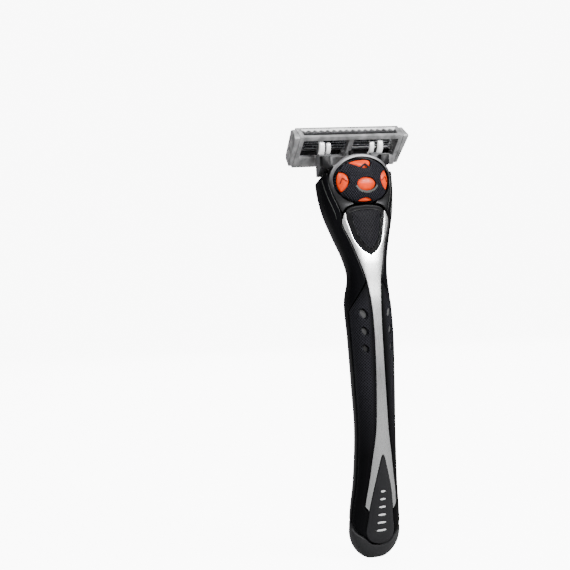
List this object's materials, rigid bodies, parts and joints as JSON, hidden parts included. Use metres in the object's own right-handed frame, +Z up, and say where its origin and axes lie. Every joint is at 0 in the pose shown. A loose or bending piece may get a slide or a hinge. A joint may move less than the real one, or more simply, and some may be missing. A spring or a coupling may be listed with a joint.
{
  "type": "cartridge razor",
  "caption": "Wet-shaving razor: curved handle with rubber grips and a bright front strip, ball-pivot head, release button and a pivoting bladed cartridge that comes off.",
  "frame": {"origin": "centre of the small flat at the tail end", "axes": "+Z up the handle towards the cartridge, -Y the decorated front, +Y the side the blades face, +X to the right"},
  "size_m": [0.0416, 0.0233, 0.1396],
  "materials": {
    "black_gloss": "glossy black moulded plastic",
    "black_satin": "satin black moulded plastic",
    "black_rubber": "soft dark grey rubber with a fine diamond texture",
    "silver": "satin silver strip, as plated or brushed metal",
    "bezel_grey": "metallic silver-grey arch",
    "frame_grey": "matte mid-grey granular plastic",
    "arm_grey": "pale grey semi-gloss plastic",
    "orange": "glossy orange-red plastic seen through the windows",
    "steel": "bright ground steel",
    "lube_blue": "blue lubricating strip",
    "pale_plastic": "pale grey moulded plastic"
  },
  "bodies": {
    "handle": {"handle_core": "black_satin", "end_cap": "black_satin", "front_spine": "silver", "side_grip_left": "black_rubber", "side_grip_right": "black_rubber", "side_shell_left": "black_gloss", "side_shell_right": "black_gloss", "back_grip": "black_rubber", "head_back_cover": "black_satin", "bezel": "bezel_grey", "tail_inlay": "black_satin", "centering_spring": "steel", "swivel_screw": "steel"},
    "button": {"release_button": "black_satin", "button_pad": "black_rubber"},
    "ball_pod": {"ball_core": "orange", "ball_skin": "black_satin", "pod_fork": "black_satin", "ejector_spring": "steel", "plunger_spring": "steel"},
    "ejector": {"ejector": "pale_plastic"},
    "plunger": {"plunger": "black_satin"},
    "connector": {"cartridge_connector": "arm_grey"},
    "cartridge": {"cartridge_frame": "frame_grey", "cartridge_end_cap_left": "frame_grey", "cartridge_end_cap_right": "frame_grey", "blade_1": "steel", "blade_2": "steel", "blade_3": "steel", "blade_4": "steel", "blade_5": "steel", "trimmer_blade": "steel", "lubrication_strip": "lube_blue", "guard_strip": "black_rubber"}
  },
  "joints": [
    {"name": "button_press", "type": "hinge", "parent": "handle", "child": "button", "pos_m": [0, -0.004, 0.0994], "axis": [-1, 0, 0], "range_deg": [0, 6], "stiffness_Nm_per_rad": 0.3},
    {"name": "ball_swivel", "type": "hinge", "parent": "handle", "child": "ball_pod", "pos_m": [0, 0, 0.1218], "axis": [0, 1, 0], "range_deg": [-7, 7], "stiffness_Nm_per_rad": 0.15},
    {"name": "ejector_slide", "type": "slide", "parent": "ball_pod", "child": "ejector", "axis": [0, 0, 1], "range_m": [0, 0.0022], "deforming": ["ejector_spring"]},
    {"name": "plunger_slide", "type": "slide", "parent": "ball_pod", "child": "plunger", "axis": [0, 0, 1], "range_m": [-0.0015, 0], "deforming": ["plunger_spring"]},
    {"name": "cartridge_release", "type": "slide", "parent": "ball_pod", "child": "connector", "axis": [0, 0, 1], "range_m": [0, 0.014]},
    {"name": "cartridge_pivot", "type": "hinge", "parent": "connector", "child": "cartridge", "pos_m": [0, 0.0072, 0.1333], "axis": [1, 0, 0], "range_deg": [0, 30], "stiffness_Nm_per_rad": 0.03}
  ],
  "couplings": [
    {"joint": "ejector_slide", "follows": "button_press", "m_per_rad": 0.02},
    {"joint": "plunger_slide", "follows": "cartridge_pivot", "m_per_rad": -0.0021}
  ]
}
